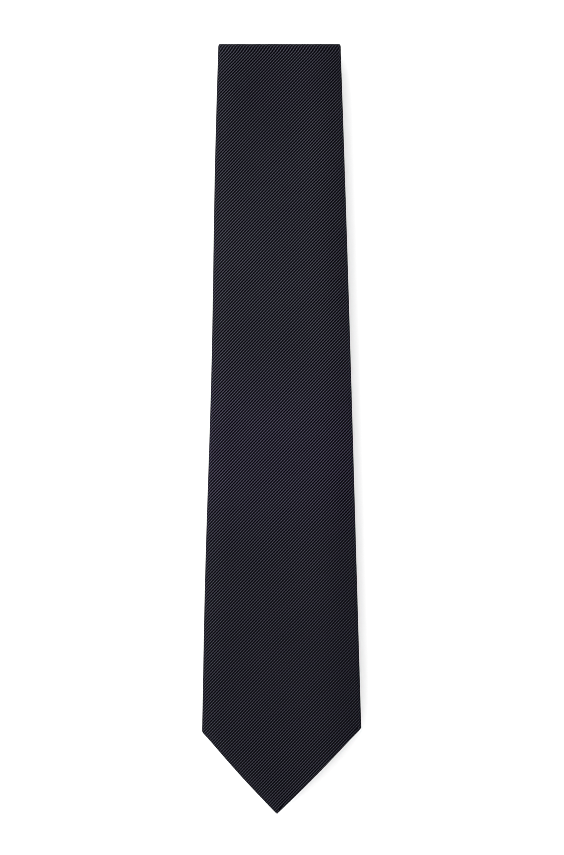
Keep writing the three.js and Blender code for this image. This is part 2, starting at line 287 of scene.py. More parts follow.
def diamond(distance, hem, half, depth, apex, slope):
    """Half width of an opening at a distance from the point."""
    hem_start = hem * math.hypot(half, depth) / half
    along_hem = (distance - hem_start) * half / depth
    return np.maximum(np.minimum(along_hem, (apex - distance) * slope), 0)


def opening(s):
    s = np.asarray(s, float)
    tail_depth = S_END - S_TAIL_SHOULDER
    tail_apex = S_END - TAIL_APEX
    blade = diamond(s, BLADE_HEM, BLADE_HALF, S_SHOULDER, BLADE_APEX, BLADE_FLAP_SLOPE)
    tail = diamond(S_END - s, TAIL_HEM, TAIL_HALF, tail_depth, tail_apex, TAIL_FLAP_SLOPE)
    return np.where(s < S_NECK, blade, tail)


print("flaps meet", round(BLADE_APEX * 1000), "mm from the blade's point")

# %% [markdown]
# ## Cloth finishes
#
# The outer cloth is a fine twill: raised diagonal ribs about a millimetre apart, each made of short
# floats of yarn, with dark furrows between them. The furrows' darkness is painted shade, and the
# paleness of the crests and of the middles of the floats is painted highlight. The colour also has a
# painted pale band along the blade, and painted highlight on the left side with painted shade on the
# right. The pattern is worked out from the cloth's own cut coordinates, in metres, so that the ribs
# follow the cloth round its edges and onto the back flaps, as the weave of a real tie does.

# %% Material helpers


class Nodes:
    """A short way to add nodes to a material and join them."""

    def __init__(self, name):
        self.material = bpy.data.materials.new(name)
        self.material.use_nodes = True
        self.tree = self.material.node_tree
        self.shader = self.tree.nodes["Principled BSDF"]

    def add(self, kind, **settings):
        node = self.tree.nodes.new(kind)
        for key, value in settings.items():
            setattr(node, key, value)
        return node

    def join(self, source, target):
        if hasattr(source, "is_output"):
            self.tree.links.new(source, target)
        else:
            target.default_value = source

    def math(self, operation, first, second=0.0, third=0.0):
        node = self.add("ShaderNodeMath", operation=operation)
        for socket, value in zip(node.inputs, (first, second, third)):
            self.join(value, socket)
        return node.outputs[0]

    def plus(self, first, second):
        return self.math("ADD", first, second)

    def minus(self, first, second):
        return self.math("SUBTRACT", first, second)

    def times(self, first, second):
        return self.math("MULTIPLY", first, second)

    def scaled(self, value, scale, start):
        """value times scale, from a start."""
        return self.math("MULTIPLY_ADD", value, scale, start)

    def mix(self, share, first, second):
        node = self.add("ShaderNodeMix", data_type="RGBA")
        self.join(share, node.inputs[0])
        self.join(first, node.inputs[6])
        self.join(second, node.inputs[7])
        return node.outputs[2]

    def noise(self, where, scale, detail=2.0, roughness=0.5):
        node = self.add("ShaderNodeTexNoise")
        self.join(where, node.inputs["Vector"])
        node.inputs["Scale"].default_value = scale
        node.inputs["Detail"].default_value = detail
        node.inputs["Roughness"].default_value = roughness
        return node.outputs[0]

    def wave(self, distance, period):
        """A smooth wave from 0 to 1 with its crests one period apart."""
        turns = self.times(distance, 2 * math.pi / period)
        return self.scaled(self.math("COSINE", turns), 0.5, 0.5)

    def step(self, value, start, end):
        """0 at start, 1 at end, and a smooth step between them. start may be the larger."""
        node = self.add("ShaderNodeMapRange", interpolation_type="SMOOTHSTEP")
        self.join(value, node.inputs["Value"])
        node.inputs["From Min"].default_value = start
        node.inputs["From Max"].default_value = end
        return node.outputs[0]

    def bump(self, height, distance, strength=1.0):
        node = self.add("ShaderNodeBump")
        node.inputs["Strength"].default_value = strength
        node.inputs["Distance"].default_value = distance
        self.join(height, node.inputs["Height"])
        self.join(node.outputs[0], self.shader.inputs["Normal"])

    def finish(self, colour=None, roughness=None, **constants):
        if colour is not None:
            self.join(colour, self.shader.inputs["Base Color"])
        if roughness is not None:
            self.join(roughness, self.shader.inputs["Roughness"])
        for name, value in constants.items():
            self.shader.inputs[name.replace("_", " ")].default_value = value
        return self.material

    def cut(self):
        """x and y on the cut cloth, in metres."""
        where = self.add("ShaderNodeUVMap", uv_map="Cut").outputs[0]
        split = self.add("ShaderNodeSeparateXYZ")
        self.join(where, split.inputs[0])
        return where, split.outputs[0], split.outputs[1]

    def object_place(self):
        return self.add("ShaderNodeTexCoord").outputs["Object"]


# %% Twill
RIB_SPACING = 0.0011  # square to the ribs
RIB_ANGLE = math.radians(46)  # up to the right, from straight across the tie
FLOAT_LENGTH = 0.0012  # one float of yarn along a rib
YARN_SPACING = 0.00021  # single yarns, leaning across the floats
RIB_SHARPNESS = 3.1  # 1 is a plain wave, and more makes the ribs narrower
RIB_SWAY = 0.0004
RIB_RELIEF = 0.00012
YARN_LEAN = 0.6  # of the single yarns against the ribs
FLOAT_HIGHLIGHT = (0.60, 0.52)  # gain and start: painted highlight, a float is palest at its middle
YARN_SHADE = (0.3, 0.85)
SLUB_SHADE = (0.5, 0.75)  # uneven yarn
PATCH_SHADE = (0.36, 0.82)  # uneven weaving, over centimetres
# The twill's colour runs from painted shade in the furrows, set here, to the crest colours below, which
# carry painted highlight.
FURROW_SHADE = (0.0002, 0.0001, 0.0010, 1)
CREST = (0.0525, 0.0528, 0.0714, 1)
CREST_WARM = (0.0600, 0.0545, 0.0888, 1)
WARM_RANGE = (0.118, 0.182, 0.246)  # start, peak and end of a warmer stretch along the blade
PAINTED_LIGHT_PLACE = 0.258  # along the blade, where painted light makes the cloth palest
PAINTED_LIGHT_LENGTH = 0.46
PAINTED_SHADE_FLOOR = 0.73  # the least share of the crests' colour, in the painted shade away from that place
LEFT_PAINTED_HIGHLIGHT = 0.16  # painted highlight: the left side is a little paler
LEFT_HIGHLIGHT_RANGE = (-0.72, -0.92)  # from no gain to all of it, where -1 and 1 are the sides
RIGHT_PAINTED_SHADE = 0.24  # painted shade: the right side is duller
RIGHT_SHADE_RANGE = (0.4, 0.95)
FLAP_PLAIN = 1.25  # on the back flaps, from here on, neither painted highlight nor painted shade


def painted_side_light(nodes, x, y):
    """Painted light across the cloth: a painted highlight near its left side and painted shade towards its
    right one.
    """
    taper = (BLADE_HALF - TOP_HALF) / (S_TOP - S_SHOULDER)
    half = nodes.scaled(y, -taper, BLADE_HALF + taper * S_SHOULDER)
    out = nodes.math("DIVIDE", x, nodes.math("MAXIMUM", half, NECK_HALF))
    left = nodes.times(nodes.step(out, *LEFT_HIGHLIGHT_RANGE), nodes.step(out, -FLAP_PLAIN, -1.0))
    right = nodes.times(nodes.step(out, *RIGHT_SHADE_RANGE), nodes.step(out, FLAP_PLAIN, 1.0))
    gained = nodes.scaled(left, LEFT_PAINTED_HIGHLIGHT, 1.0)
    return nodes.scaled(right, -RIGHT_PAINTED_SHADE, gained)


def twill():
    nodes = Nodes("twill_cloth")
    where, x, y = nodes.cut()
    cosine, sine = math.cos(RIB_ANGLE), math.sin(RIB_ANGLE)
    across = nodes.minus(nodes.times(y, cosine), nodes.times(x, sine))
    along = nodes.plus(nodes.times(x, cosine), nodes.times(y, sine))
    sway = nodes.times(nodes.minus(nodes.noise(where, 60.0), 0.5), RIB_SWAY)
    rib = nodes.math("POWER", nodes.wave(nodes.plus(across, sway), RIB_SPACING), RIB_SHARPNESS)
    floats = nodes.wave(nodes.plus(along, sway), FLOAT_LENGTH)
    yarn = nodes.scaled(floats, *FLOAT_HIGHLIGHT)
    lean = nodes.scaled(across, YARN_LEAN, along)
    yarns = nodes.scaled(nodes.wave(lean, YARN_SPACING), *YARN_SHADE)
    slub = nodes.scaled(nodes.noise(where, 900.0, 3.0, 0.6), *SLUB_SHADE)
    lit = nodes.times(nodes.times(rib, yarn), nodes.times(slub, yarns))
    start, peak, end = WARM_RANGE
    warmth = nodes.times(nodes.step(y, start, peak), nodes.step(y, end, peak))
    crest = nodes.mix(warmth, CREST, CREST_WARM)
    # painted light: the cloth is palest at one place along the blade and dimmer in painted shade away from
    # it
    pale = nodes.wave(nodes.minus(y, PAINTED_LIGHT_PLACE), PAINTED_LIGHT_LENGTH)
    level = nodes.scaled(pale, 1 - PAINTED_SHADE_FLOOR, PAINTED_SHADE_FLOOR)
    patch = nodes.scaled(nodes.noise(where, 24.0), *PATCH_SHADE)
    # painted highlight on the cloth's left side and painted shade on its right side, times the uneven
    # weaving
    level = nodes.times(nodes.times(level, patch), painted_side_light(nodes, x, y))
    # painted shade in the furrows and painted highlight on the crests and floats
    colour = nodes.mix(nodes.times(lit, level), FURROW_SHADE, crest)
    nodes.bump(nodes.times(rib, yarn), RIB_RELIEF, 0.25)
    roughness = nodes.scaled(rib, -0.12, 0.60)
    return nodes.finish(colour, roughness, Specular_IOR_Level=0.006)


# %% [markdown]
# The linings, the core and the sewing are quieter: a satin with a fine lengthwise grain, a felted
# wool with loose fibres, a twisted thread, a woven label and a plain tape. Each has its own grain
# in its colour, its roughness and its relief.

# %% Linings, core, thread and labels
SATIN_GRAIN = 0.00035
SATIN_COLOURS = ((0.004, 0.004, 0.009, 1), (0.016, 0.015, 0.030, 1))
FELT_COLOURS = ((0.48, 0.44, 0.36, 1), (0.74, 0.71, 0.63, 1))
THREAD_TWIST = 0.00025
THREAD_COLOURS = ((0.010, 0.010, 0.014, 1), (0.040, 0.038, 0.052, 1))
LABEL_COLOURS = ((0.005, 0.005, 0.009, 1), (0.075, 0.073, 0.090, 1))
TAPE_COLOURS = ((0.30, 0.295, 0.28, 1), (0.44, 0.43, 0.41, 1))
WEFT_SPACING = 0.0005
WARP_SPACING = 0.0004
LABEL_BORDER = 0.0022  # from a label's edge to its border line
BORDER_HALF = 0.00035


def satin():
    nodes = Nodes("satin_lining")
    where, x, y = nodes.cut()
    grain = nodes.wave(nodes.plus(x, nodes.times(y, 0.35)), SATIN_GRAIN)
    streak = nodes.noise(where, 350.0, 3.0)
    lit = nodes.scaled(streak, 0.6, nodes.times(grain, 0.4))
    colour = nodes.mix(lit, *SATIN_COLOURS)
    nodes.bump(lit, 0.00004, 0.5)
    roughness = nodes.scaled(streak, 0.15, 0.30)
    return nodes.finish(colour, roughness, Anisotropic=0.4, Specular_IOR_Level=0.12)


def felt():
    nodes = Nodes("felted_core")
    where = nodes.object_place()
    fibres = nodes.noise(where, 1400.0, 5.0, 0.7)
    clumps = nodes.noise(where, 160.0, 3.0)
    lit = nodes.scaled(fibres, 0.6, nodes.times(clumps, 0.4))
    colour = nodes.mix(lit, *FELT_COLOURS)
    nodes.bump(lit, 0.0002, 0.8)
    roughness = nodes.scaled(clumps, 0.1, 0.88)
    return nodes.finish(colour, roughness, Sheen_Weight=0.3)


def thread():
    nodes = Nodes("sewing_thread")
    where = nodes.object_place()
    split = nodes.add("ShaderNodeSeparateXYZ")
    nodes.join(where, split.inputs[0])
    lean = nodes.plus(split.outputs[0], split.outputs[1])
    twist = nodes.wave(nodes.plus(lean, split.outputs[2]), THREAD_TWIST)
    colour = nodes.mix(twist, *THREAD_COLOURS)
    nodes.bump(twist, 0.00005, 0.6)
    roughness = nodes.scaled(nodes.noise(where, 2000.0), 0.2, 0.5)
    return nodes.finish(colour, roughness, Specular_IOR_Level=0.15)


def label_weave(name, ground, figure, half, centre):
    """A blank woven label: a fine damask ground inside a plain woven border."""
    nodes = Nodes(name)
    _, x, y = nodes.cut()
    weft = nodes.wave(y, WEFT_SPACING)
    warp = nodes.wave(x, WARP_SPACING)
    weave = nodes.scaled(weft, 0.6, nodes.times(warp, 0.4))
    in_x = nodes.minus(half[0], nodes.math("ABSOLUTE", nodes.minus(x, centre[0])))
    in_y = nodes.minus(half[1], nodes.math("ABSOLUTE", nodes.minus(y, centre[1])))
    inside = nodes.math("MINIMUM", in_x, in_y)
    line = nodes.math("COMPARE", inside, LABEL_BORDER, BORDER_HALF)
    shade = nodes.mix(weave, ground, figure)
    colour = nodes.mix(nodes.times(line, 0.7), shade, figure)
    nodes.bump(weave, 0.00005, 0.6)
    roughness = nodes.scaled(weft, 0.2, 0.45)
    return nodes.finish(colour, roughness, Specular_IOR_Level=0.1)


TWILL = twill()
SATIN = satin()
FELT = felt()
THREAD = thread()
print("finishes:", [material.name for material in (TWILL, SATIN, FELT, THREAD)])

# %% [markdown]
# ## The cloth envelope
#
# In section, a tie is one cloth that starts at a flap edge on the back, rolls round one side,
# crosses the front, rolls round the other side and comes back to the middle. A grid of rows along
# the tie and columns round that section makes it in one piece. Rows are close together where the
# cloth bends or comes to a point. The left flap laps over the right one by a few millimetres.
#
# The cloth is cut in three pieces, joined by seams on the bias. Towards a seam, the rows slant
# until they run at 45 degrees on the cut cloth, so on the back each flap's seam lands somewhere
# else, as it does on a real tie.

# %% Rows and columns
ROW_SPACING = 0.004
ROW_GROWTH = (0.18, 0.25)  # from a point, and from a fold
CLOSEST_ROWS = 0.00003
FOLD_SPACING = 0.0007
FOLDS = ((S_TOP, S_FRONT), (S_NECK, S_REAR), (S_TAIL, S_LAST))
SEAM_RAMP = 0.088  # along the tie, in which rows turn from straight across to the bias
SEAM_DITCH = 0.0009  # from a seam to where the cloth has its full height
DITCH_DEPTH = 0.0003
APEX_ROW = 0.002

FRONT_SEAM = S_FRONT + TOP_AXIS.y - sum(corner.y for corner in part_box("bias_seam_front")) / 2
REAR_SEAM = S_REAR + sum(corner.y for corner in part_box("bias_seam_rear")) / 2 - NECK_AXIS.y


def rows(start, end, marks=()):
    """Places for rows of mesh along the tie, with one on each mark."""
    places = [start]
    while places[-1] < end:
        s = places[-1]
        step = min(ROW_SPACING, 2 * CLOSEST_ROWS + ROW_GROWTH[0] * min(s, abs(S_END - s)))
        for fold_start, fold_end in FOLDS:
            step = min(step, FOLD_SPACING + ROW_GROWTH[1] * max(fold_start - s, s - fold_end, 0))
        places.append(s + step)
    kept = [mark for mark in marks if start < mark < end] + [start, end]
    clear = [s for s in places if s < end and min(abs(s - mark) for mark in kept) > CLOSEST_ROWS]
    return np.array(sorted(clear + kept))


# %% Columns round the section
FRONT_COLUMNS = 10  # from each side's roll to the middle
ROLL_COLUMNS = 12  # round each side
BACK_COLUMNS = 9  # from the roll to the flap's edge
ROLL = 0.0023  # how far in from its side the cloth begins to turn under
PRESSED_ROLL = 0.0008
MOST_ROLL = 0.6  # of the half width, for narrow places
PRESS_RAMP = (0.006, 0.001)  # distances from a fold between which the sides get pressed
CLOTH = 0.00036
CROWN = 0.00022  # rise of the front between its sides
CROWN_FADE = (0.7, 0.97)  # shares of the way to the top fold
LAP_OVER = 0.0015  # left flap's edge past the middle
LAP_UNDER = 0.006  # right flap's edge past the middle, under the left one
LAP_RAMP = 0.012  # from a bar tack to the full lap
LAP_SINK = 1.35 * CLOTH  # how deep the right flap dips under the left one
SINK_RANGE = (0.003, 0.009)  # distances from the middle between which it dips
FLAP_GAP = 0.00005
LEAST_FLAP = 0.0006
POINT_TAPER = 0.0036  # from a point to where the tie has its full thickness
ROLL_TURNS = np.linspace(0, math.pi, 181)
ROLL_STEPS = np.hypot(np.diff(ROLL * np.sin(ROLL_TURNS)), np.diff(HALF * np.cos(ROLL_TURNS)))
ROLL_ARC = np.concatenate([[0], np.cumsum(ROLL_STEPS)])  # round the roll, from the front
ROLL_LENGTH = ROLL_ARC[-1]


def round_roll(t):
    """How far round a roll a column is, where t is 1 at the front and 0 at the back."""
    return np.interp(math.pi * (1 - t), ROLL_TURNS, ROLL_ARC)


def section_columns():
    """(side, zone, t) for each column, from the left flap's edge round to the right one's."""
    half = [("back", t) for t in np.linspace(0, 1, BACK_COLUMNS + 1)[:-1]]
    half += [("roll", t) for t in np.linspace(0, 1, ROLL_COLUMNS + 1)[:-1]]
    half += [("front", t) for t in np.linspace(0, 1, FRONT_COLUMNS + 1)]
    return [(-1, zone, t) for zone, t in half] + [(1, zone, t) for zone, t in half[-2::-1]]


def overlap(s):
    """0 where the back is open or hemmed, 1 where one flap laps over the other."""
    return ease(s, BLADE_APEX, BLADE_APEX + LAP_RAMP) * (1 - ease(s, TAIL_APEX - LAP_RAMP, TAIL_APEX))


def pressed(s):
    """1 round the top and tail folds, where the sides are pressed flat, and 0 away from them."""
    far, near = PRESS_RAMP
    top = ease(s, S_TOP - far, S_TOP - near) * (1 - ease(s, S_FRONT + near, S_FRONT + far))
    tail = ease(s, S_TAIL - far, S_TAIL - near) * (1 - ease(s, S_LAST + near, S_LAST + far))
    return top + tail


def crown(s):
    """How far the front rises between its sides. It is flat from the top fold on."""
    return CROWN * (1 - ease(s, S_TOP * CROWN_FADE[0], S_TOP * CROWN_FADE[1]))


def point_height(s):
    """The share of its full thickness that the tie has at s."""
    away = np.clip(np.minimum(s, S_END - s) / POINT_TAPER, 0, 1)
    return np.sqrt(1 - (1 - away) ** 2)


def section(s, side, zone, t):
    """x and h of one column at s, and how far round the cloth it is from the middle of the front."""
    left, right = edges(s)
    middle = (left + right) / 2
    span = (right - left) / 2
    edge = right if side > 0 else left
    before = edges(s - SLOPE_STEP)[side > 0]
    after = edges(s + SLOPE_STEP)[side > 0]
    slant = np.hypot(1, (after - before) / (2 * SLOPE_STEP))
    roll = ROLL + (PRESSED_ROLL - ROLL) * pressed(s)
    reach = np.minimum(roll * slant, span * MOST_ROLL)
    flat = span - reach
    if zone == "front":
        x = edge - side * reach + t * (middle - edge + side * reach)
        return x, HALF + crown(s) * (1 - (1 - t) ** 2), flat * (1 - t)
    if zone == "roll":
        turn = math.pi * (1 - t)
        x = edge - side * reach * (1 - math.sin(turn))
        return x, HALF * math.cos(turn), flat + round_roll(t)
    lap = LAP_UNDER if side > 0 else LAP_OVER
    inner = np.minimum(opening(s) + FLAP_GAP, flat - LEAST_FLAP) - overlap(s) * (lap + FLAP_GAP)
    from_middle = inner + t * (flat - inner)
    under = 1 - ease(from_middle, *SINK_RANGE) if side > 0 else 0.0
    h = -HALF + LAP_SINK * under * overlap(s)
    return middle + side * from_middle, h, flat + ROLL_LENGTH + flat - from_middle


# %% [markdown]
# The twill has to run on unbroken as the cloth turns over an edge. A place past an edge is
# therefore unfolded about that edge: about the long side for a flap, and about the slanted edge
# of the point for a hem. The result, in metres on the cut cloth, is stored as the UV map `Cut`.

# %% Cut coordinates


def cut_places(s, x, side, zone, t, round_cloth):
    """Cut coordinates of a column, unfolded about the long side and about the point's edge."""
    if zone == "front":
        return (x, s), (x, s)
    left, right = edges(s)
    edge = right if side > 0 else left
    at_blade = s < S_NECK
    away = np.where(at_blade, s, S_END - s)
    half = np.where(at_blade, BLADE_HALF - side * POINT_SHIFT, TAIL_HALF)
    depth = np.where(at_blade, S_SHOULDER + side * SHOULDER_SKEW, S_END - S_TAIL_SHOULDER)
    length = np.hypot(half, depth)
    inside = np.abs(edge - x) * depth / length
    past = round_roll(t) - ROLL if zone == "roll" else ROLL_LENGTH - 2 * ROLL + inside
    cut_x = x + (past + inside) * side * depth / length
    cut_away = away - (past + inside) * half / length
    cut_s = np.where(at_blade, cut_away, S_END - cut_away)
    return ((left + right) / 2 + side * round_cloth, s), (cut_x, cut_s)


# %% Making a piece of cloth


def new_piece(name, points, along, faces, cut, material):
    """A mesh object. along is s for each point, and cut an (x, y) for each face's corners."""
    mesh = bpy.data.meshes.new(name)
    mesh.from_pydata([tuple(point) for point in points], [], faces)
    places = mesh.attributes.new("along", "FLOAT", "POINT")
    places.data.foreach_set("value", np.asarray(along, np.float32))
    mesh.uv_layers.new(name="Cut").data.foreach_set("uv", np.asarray(cut, np.float32).ravel())
    mesh.materials.append(material)
    piece = bpy.data.objects.new(name, mesh)
    scene.collection.objects.link(piece)
    return piece


def weld(piece, distance=0.000002):
    """Merges places that coincide, as at a point, and drops faces with no area."""
    work = bmesh.new()
    work.from_mesh(piece.data)
    bmesh.ops.remove_doubles(work, verts=work.verts, dist=distance)
    bmesh.ops.dissolve_degenerate(work, edges=work.edges, dist=distance)
    work.to_mesh(piece.data)
    work.free()


def settle(piece):
    """Applies a piece's modifiers, so that its mesh is the finished shape."""
    bpy.context.view_layer.update()
    graph = bpy.context.evaluated_depsgraph_get()
    mesh = bpy.data.meshes.new_from_object(piece.evaluated_get(graph))
    piece.modifiers.clear()
    piece.data = mesh
    return piece


def smooth(piece, angle=40):
    piece.data.shade_smooth()
    piece.data.set_sharp_from_angle(angle=math.radians(angle))


def give_thickness(piece, thickness):
    """Thickens a cloth inwards from its outer face."""
    solid = piece.modifiers.new("thickness", "SOLIDIFY")
    solid.thickness = thickness
    solid.offset = -1
    settle(piece)


def grid_faces(row_count, column_count):
    r, c = np.meshgrid(np.arange(row_count - 1), np.arange(column_count - 1), indexing="ij")
    corner = (r * column_count + c).ravel()
    return np.stack([corner, corner + 1, corner + column_count + 1, corner + column_count], axis=1)


def seam_slant(s, start, end):
    """0 where rows run straight across, 1 where they follow a bias seam at either end of a piece."""
    slant = np.zeros_like(s)
    if start > 0:
        slant += 1 - ease(s, start, start + SEAM_RAMP)
    if end < S_END:
        slant += ease(s, end - SEAM_RAMP, end)
    return slant


def folded_cloth(name, start, end):
    """One cut piece of the outer cloth, from start to end along the tie."""
    marks = [S_SHOULDER - SHOULDER_SKEW, S_SHOULDER + SHOULDER_SKEW, S_TAIL_SHOULDER]
    for share in (0.25, 0.6, 1.0):
        marks += [start + share * SEAM_DITCH, end - share * SEAM_DITCH]
    for apex in (BLADE_APEX, TAIL_APEX):
        marks += [apex - APEX_ROW, apex, apex + APEX_ROW]
    base = rows(start, end, marks)
    seam_away = np.full_like(base, S_END)
    if start > 0:
        seam_away = np.minimum(seam_away, base - start)
    if end < S_END:
        seam_away = np.minimum(seam_away, end - base)
    sunk = DITCH_DEPTH * (1 - np.clip(seam_away / SEAM_DITCH, 0, 1)) ** 2
    slant = seam_slant(base, start, end)
    columns = section_columns()
    points, along, side_cut, point_cut = [], [], [], []
    for side, zone, t in columns:
        round_cloth = section(base, side, zone, t)[2]
        s = np.clip(base + side * slant * round_cloth, 0, S_END)
        x, h, round_cloth = section(s, side, zone, t)
        h = (h - np.sign(h) * sunk) * point_height(s)
        points.append(lay(s, x, h))
        along.append(s)
        by_side, by_point = cut_places(s, x, side, zone, t, round_cloth)
        side_cut.append(np.stack(by_side, axis=-1))
        point_cut.append(np.stack(by_point, axis=-1))
    points = np.stack(points, axis=1).reshape(-1, 3)
    along = np.stack(along, axis=1).ravel()
    side_cut = np.stack(side_cut, axis=1).reshape(-1, 2)
    point_cut = np.stack(point_cut, axis=1).reshape(-1, 2)
    faces = grid_faces(len(base), len(columns))
    on_left = (faces[:, 0] % len(columns)) < len(columns) // 2
    face_s = base[faces[:, 0] // len(columns)]
    skew = np.where(on_left, -SHOULDER_SKEW, SHOULDER_SKEW)
    close = CLOSEST_ROWS / 3
    at_point = (face_s < S_SHOULDER + skew - close) | (face_s > S_TAIL_SHOULDER - close)
    cut = np.where(at_point[:, None, None], point_cut[faces], side_cut[faces])
    piece = new_piece(name, points, along, faces.tolist(), cut, TWILL)
    weld(piece)
    give_thickness(piece, CLOTH)
    smooth(piece)
    print(name, round((end - start) * 1000), "mm long,", len(piece.data.polygons), "faces")
    return piece


SEAM_GAP = 0.00004  # from a seam's middle to each cloth
blade_cloth = folded_cloth("blade_cloth", 0.0, FRONT_SEAM - SEAM_GAP)
neck_cloth = folded_cloth("neck_cloth", FRONT_SEAM + SEAM_GAP, REAR_SEAM - SEAM_GAP)
tail_cloth = folded_cloth("tail_cloth", REAR_SEAM + SEAM_GAP, S_END)

# %% [markdown]
# ## Bending at the folds
#
# Each cut piece crosses exactly one fold. A place round the bend turns by its share of the fold's
# angle: all of it where the bend leaves the upper layer, none where it reaches the lower one. As
# the fold opens, the bend tightens evenly and ends as a clean crease.

# %% Bend pieces across their folds


def bend(piece, lower, upper, axis, fold_start, fold_end):
    """Rides a piece on two bodies, with its places round the fold shared out evenly along it."""
    below = (axis.x, axis.y, axis.z - HALF)
    above = (axis.x, axis.y, axis.z + HALF)
    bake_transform(piece, lower, upper, start=below, end=above)
    mesh = piece.data
    along = np.empty(len(mesh.vertices), np.float32)
    mesh.attributes["along"].data.foreach_get("value", along)
    share = 1 - np.clip((along - fold_start) / (fold_end - fold_start), 0, 1)
    mesh.attributes["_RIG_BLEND"].data.foreach_set("value", share)
    mesh.attributes.remove(mesh.attributes["along"])


def bend_at_top(piece):
    bend(piece, "front_neck", "blade", TOP_AXIS, S_TOP, S_FRONT)


def bend_at_neck(piece):
    bend(piece, "rear_neck", "front_neck", NECK_AXIS, S_NECK, S_REAR)


def bend_at_tail(piece):
    bend(piece, "tail", "rear_neck", TAIL_AXIS, S_TAIL, S_LAST)


bend_at_top(blade_cloth)
bend_at_neck(neck_cloth)
bend_at_tail(tail_cloth)
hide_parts("blade_shell", "top_fold_shell", "blade_shell_upper")
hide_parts("neck_shell_front", "neck_fold_shell", "neck_shell_rear")
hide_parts("tail_shell_upper", "tail_fold_shell", "tail_shell")

# %% [markdown]
# ## Core and linings
#
# Inside the cloth lies a felted wool core, cut to the tie's own outline a little smaller, which
# gives the tie its body. In each diamond opening a satin lining covers it. Both are slabs: a grid
# of places with a low and a high side, closed all round.

# %% Slabs
CORE_INSET = 0.0015
POINT_INSET = 0.0026  # from a point to the core's and lining's own point
CORE_LOW = 0.00005
CORE_HIGH = 0.00115
LINING_LOW = -0.00114
LINING_HIGH = -0.00088
LINING_PUCKER = 0.00009
PUCKER_WAVES = (0.0021, 0.0034)  # along and across, for one radian each
PUCKER_BENDS = (0.009, 0.012)  # how the two sets of waves wander
LINING_TUCK = 0.004  # past the opening's apex, under the flaps
CORE_COLUMNS = 12
LINING_COLUMNS = 16
LINING_ROWS = 40
LEAST_HALF = 0.0002


def slab(name, s, x, low, high, material):
    """A thin solid over a grid of places, with low and high its two faces."""
    row_count, column_count = s.shape
    points = np.concatenate([lay(s, x, low).reshape(-1, 3), lay(s, x, high).reshape(-1, 3)])
    size = row_count * column_count
    grid = grid_faces(row_count, column_count)
    index = np.arange(size).reshape(row_count, column_count)
    rim = np.concatenate([index[0, :-1], index[:-1, -1], index[-1, :0:-1], index[:0:-1, 0]])
    after = np.roll(rim, -1)
    walls = np.stack([rim, after, after + size, rim + size], axis=1)
    faces = np.concatenate([grid[:, ::-1], grid + size, walls])
    along = np.tile(s.ravel(), 2)
    cut = np.stack([np.tile(x.ravel(), 2), along], axis=-1)[faces]
    piece = new_piece(name, points, along, faces.tolist(), cut, material)
    weld(piece)
    work = bmesh.new()
    work.from_mesh(piece.data)
    bmesh.ops.recalc_face_normals(work, faces=work.faces)
    work.to_mesh(piece.data)
    work.free()
    smooth(piece)
    print(name, len(piece.data.polygons), "faces")
    return piece


def inset_grid(base, inset, columns, slant=0.0):
    """Places between the tie's sides, drawn in by an inset, in rows that may slant."""
    across = np.linspace(-1, 1, columns + 1)[None, :]
    s = base[:, None] + 0 * across
    for _ in range(3):
        left, right = edges(s)
        before = edges(s - SLOPE_STEP)[1]
        after = edges(s + SLOPE_STEP)[1]
        drawn_in = inset * np.hypot(1, (after - before) / (2 * SLOPE_STEP))
        half = np.maximum((right - left) / 2 - drawn_in, LEAST_HALF)
        x = (left + right) / 2 + across * half
        s = base[:, None] + np.reshape(slant, (-1, 1)) * x
    return s, x


def core(name, start, end):
    base = rows(start, end)[::2]
    base[-1] = end
    seam_start = start if start > POINT_INSET else 0
    seam_end = end if end < S_END - POINT_INSET else S_END
    s, x = inset_grid(base, CORE_INSET, CORE_COLUMNS, seam_slant(base, seam_start, seam_end))
    low = np.full_like(s, CORE_LOW)
    high = np.full_like(s, CORE_HIGH)
    return slab(name, s, x, low, high, FELT)


def lining(name, start, end):
    base = np.linspace(start, end, LINING_ROWS)
    s, x = inset_grid(base, CORE_INSET, LINING_COLUMNS)
    along = np.sin(s / PUCKER_WAVES[0] + 3 * np.sin(x / PUCKER_BENDS[0]))
    across = np.sin(x / PUCKER_WAVES[1] + s / PUCKER_BENDS[1])
    pucker = LINING_PUCKER * (along + across)
    return slab(name, s, x, LINING_LOW + pucker, LINING_HIGH + pucker, SATIN)


blade_core = core("blade_core", POINT_INSET, FRONT_SEAM - SEAM_GAP)
neck_core = core("neck_core", FRONT_SEAM + SEAM_GAP, REAR_SEAM - SEAM_GAP)
tail_core = core("tail_core", REAR_SEAM + SEAM_GAP, S_END - POINT_INSET)
bend_at_top(blade_core)
bend_at_neck(neck_core)
bend_at_tail(tail_core)
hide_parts("blade_interlining", "top_fold_interlining", "blade_interlining_upper")
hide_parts("neck_interlining_front", "neck_fold_interlining", "neck_interlining_rear")
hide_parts("tail_interlining_upper", "tail_fold_interlining", "tail_interlining")

blade_lining = lining("blade_lining", POINT_INSET, BLADE_APEX + LINING_TUCK)
tail_lining = lining("tail_lining", TAIL_APEX - LINING_TUCK, S_END - POINT_INSET)
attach(blade_lining, "blade")
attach(tail_lining, "tail")
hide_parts("blade_tipping")
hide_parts("tail_tipping")

# %% [markdown]
# ## On the back of the blade
#
# A band of the tie's own cloth is sewn across the back, to hold the tail when the tie is worn. A
# blank woven label is sewn above it, and a short blank tape hangs from under it. They are laid on
# the blade's back, at the places of their CAD nodes.

# %% Keeper loop, label and tape
BACK = -HALF
EDGE_ROUND = 0.0006  # how far in from its outline a piece has its full thickness
RISE_RANGE = (0.002, 0.009)  # distances from a side between which a piece rises off the back


